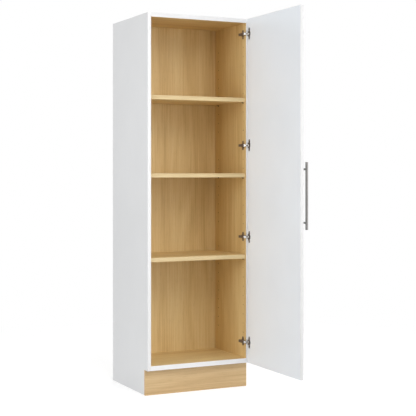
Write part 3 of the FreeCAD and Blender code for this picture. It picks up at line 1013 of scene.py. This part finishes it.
@dataclass
class StudioCamera:
    """A level camera in front of the cupboard and to its left, on a square frame."""

    place: Triple = (-2.4653, -5.4979, 1.188)
    pitch: float = math.radians(90.0)
    heading: float = math.radians(27.44)
    focal_pixels: float = 1107.5
    frame_pixels: float = 416.0
    centre_x: float = 260.0
    horizon_y: float = 171.69
    sensor: float = 36.0
    reach: float = 60.0

    def build(self) -> None:
        """Makes the camera and sets it as the scene's."""
        data = bpy.data.cameras.new("camera")
        data.sensor_width = self.sensor
        data.lens = self.focal_pixels / self.frame_pixels * self.sensor
        half = self.frame_pixels / 2
        data.shift_x = (half - self.centre_x) / self.frame_pixels
        data.shift_y = (self.horizon_y - half) / self.frame_pixels
        data.clip_end = self.reach
        camera = bpy.data.objects.new("camera", data)
        camera.location = self.place
        camera.rotation_euler = (self.pitch, 0.0, -self.heading)
        bpy.context.scene.collection.objects.link(camera)
        bpy.context.scene.camera = camera


@dataclass(frozen=True)
class SoftBox:
    """A square lamp that points at the cupboard's middle: its power in watts, its side in metres."""

    name: str
    place: Triple
    power: float
    side: float = 3.0
    target: Triple = (0.0, 0.0, 1.0)

    def build(self) -> None:
        """Makes the lamp."""
        data = bpy.data.lights.new(self.name, "AREA")
        data.shape = "SQUARE"
        data.size = self.side
        data.energy = self.power
        lamp = bpy.data.objects.new(self.name, data)
        lamp.location = self.place
        direction = Vector(self.target) - Vector(self.place)
        lamp.rotation_euler = direction.to_track_quat("-Z", "Y").to_euler()
        bpy.context.scene.collection.objects.link(lamp)
        LOG.info("lamp: %s", lamp.name)


@dataclass(frozen=True)
class Surround:
    """A white background that lights the cupboard at a lower level than it shows."""

    level: float = 0.27

    def build(self) -> None:
        """Makes the background."""
        world = bpy.data.worlds.new("surround")
        bpy.context.scene.world = world
        world.use_nodes = True
        graph = Graph(world.node_tree)
        background = graph.tree.nodes["Background"]
        seen = graph.seen_by(Ray.CAMERA, Ray.GLOSSY, Ray.TRANSMISSION)
        graph.feed(background.inputs["Color"], WHITE)
        graph.feed(background.inputs["Strength"], graph.remap(seen, UNIT, (self.level, 1.0)))


@dataclass(frozen=True)
class FloorFinish(Finish):
    """Matt pale floor that fades into the surround's white: its distances are in metres."""

    dull: Colour = tint(203, 203, 203)
    pale: Colour = tint(206, 206, 206)
    mottle: Pattern = Pattern(scale=6.0, detail=3.0, roughness=0.5)
    mottle_relief: float = 0.01
    roughness: Range = (0.85, 0.95)
    specular: float = 0.1
    lift: float = 0.55
    fade: Range = (0.9, 2.8)

    def skin(self, graph: Graph) -> Skin:
        """Builds the floor's colour, roughness and relief.

        Args:
            graph: The material's graph.

        Returns:
            The skin.
        """
        mottle = graph.noise(self.mottle)
        colour = graph.mix(mottle, self.dull, self.pale)
        roughness = graph.remap(mottle, UNIT, self.roughness)
        return Skin(colour, roughness, graph.math(Step.TIMES, mottle, self.mottle_relief))

    def constants(self) -> dict[str, object]:
        """Gives the floor's specular level and the colour that lifts it."""
        return {"Specular_IOR_Level": self.specular, "Emission_Color": WHITE}

    def material(self, name: str) -> bpy.types.Material:
        """Builds the floor's material, pale round the cupboard and white far off.

        Args:
            name: The material's name.

        Returns:
            The material.
        """
        graph = MaterialGraph(name)
        graph.set(**self.constants())
        material = graph.finish(self.skin(graph))
        seen = graph.seen_by(Ray.CAMERA, Ray.GLOSSY)
        graph.feed(graph.shader.inputs["Emission Strength"], graph.math(Step.TIMES, seen, self.lift))
        radius = graph.add("ShaderNodeVectorMath", operation="LENGTH")
        graph.feed(radius.inputs[0], graph.place())
        far = graph.remap(radius.outputs["Value"], self.fade, curve=Curve.SMOOTH)
        white = graph.add("ShaderNodeEmission")
        fade = graph.add("ShaderNodeMixShader")
        layers = (graph.math(Step.TIMES, seen, far), graph.shader.outputs[0], white.outputs[0])
        for index, source in enumerate(layers):
            graph.feed(fade.inputs[index], source)
        graph.feed(graph.tree.nodes["Material Output"].inputs["Surface"], fade.outputs[0])
        return material


@dataclass
class Studio:
    """A pale floor that keeps the cupboard's shadow, a white surround and soft lamps."""

    floor_reach: float = 14.0
    floor_cells: int = 8
    floor_finish: FloorFinish = FloorFinish()
    surround: Surround = Surround()
    lamps: tuple[SoftBox, ...] = (
        SoftBox("front_box", (0.4, -5.2, 1.3), power=36.0),
        SoftBox("right_box", (2.6, -4.4, 1.2), power=66.0),
        SoftBox("high_box", (0.0, -4.2, 4.2), power=98.0),
        SoftBox("left_box", (-4.6, -1.0, 1.6), power=122.0),
        SoftBox("back_box", (2.6, 4.6, 3.0), power=110.0),
        SoftBox("far_box", (5.2, 0.6, 1.9), power=90.0),
    )

    def build_floor(self) -> None:
        """Lays the floor."""
        mesh = bpy.data.meshes.new("floor")
        grid = bmesh.new()
        bmesh.ops.create_grid(grid, x_segments=self.floor_cells, y_segments=self.floor_cells,
                              size=self.floor_reach)
        grid.to_mesh(mesh)
        grid.free()
        floor = bpy.data.objects.new("floor", mesh)
        bpy.context.scene.collection.objects.link(floor)
        dress(floor, self.floor_finish.material("floor_white"))

    def build(self) -> None:
        """Builds the surround, the floor and the lamps."""
        self.surround.build()
        self.build_floor()
        for lamp in self.lamps:
            lamp.build()


def main() -> None:
    """Loads the frame, dresses each sub-assembly and builds the studio."""
    logging.basicConfig(level=logging.INFO, format="%(name)s: %(message)s")
    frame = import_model()
    bpy.context.scene.view_settings.view_transform = "Standard"
    StudioCamera().build()
    for kind in (Carcase, Shelving, Joinery, Door, Hinges, Handle):
        kind(frame["nodes"]).build()
        LOG.info("%s dressed", kind.__name__)
    Studio().build()
    LOG.info("studio built")


if __name__ == "__main__":
    main()
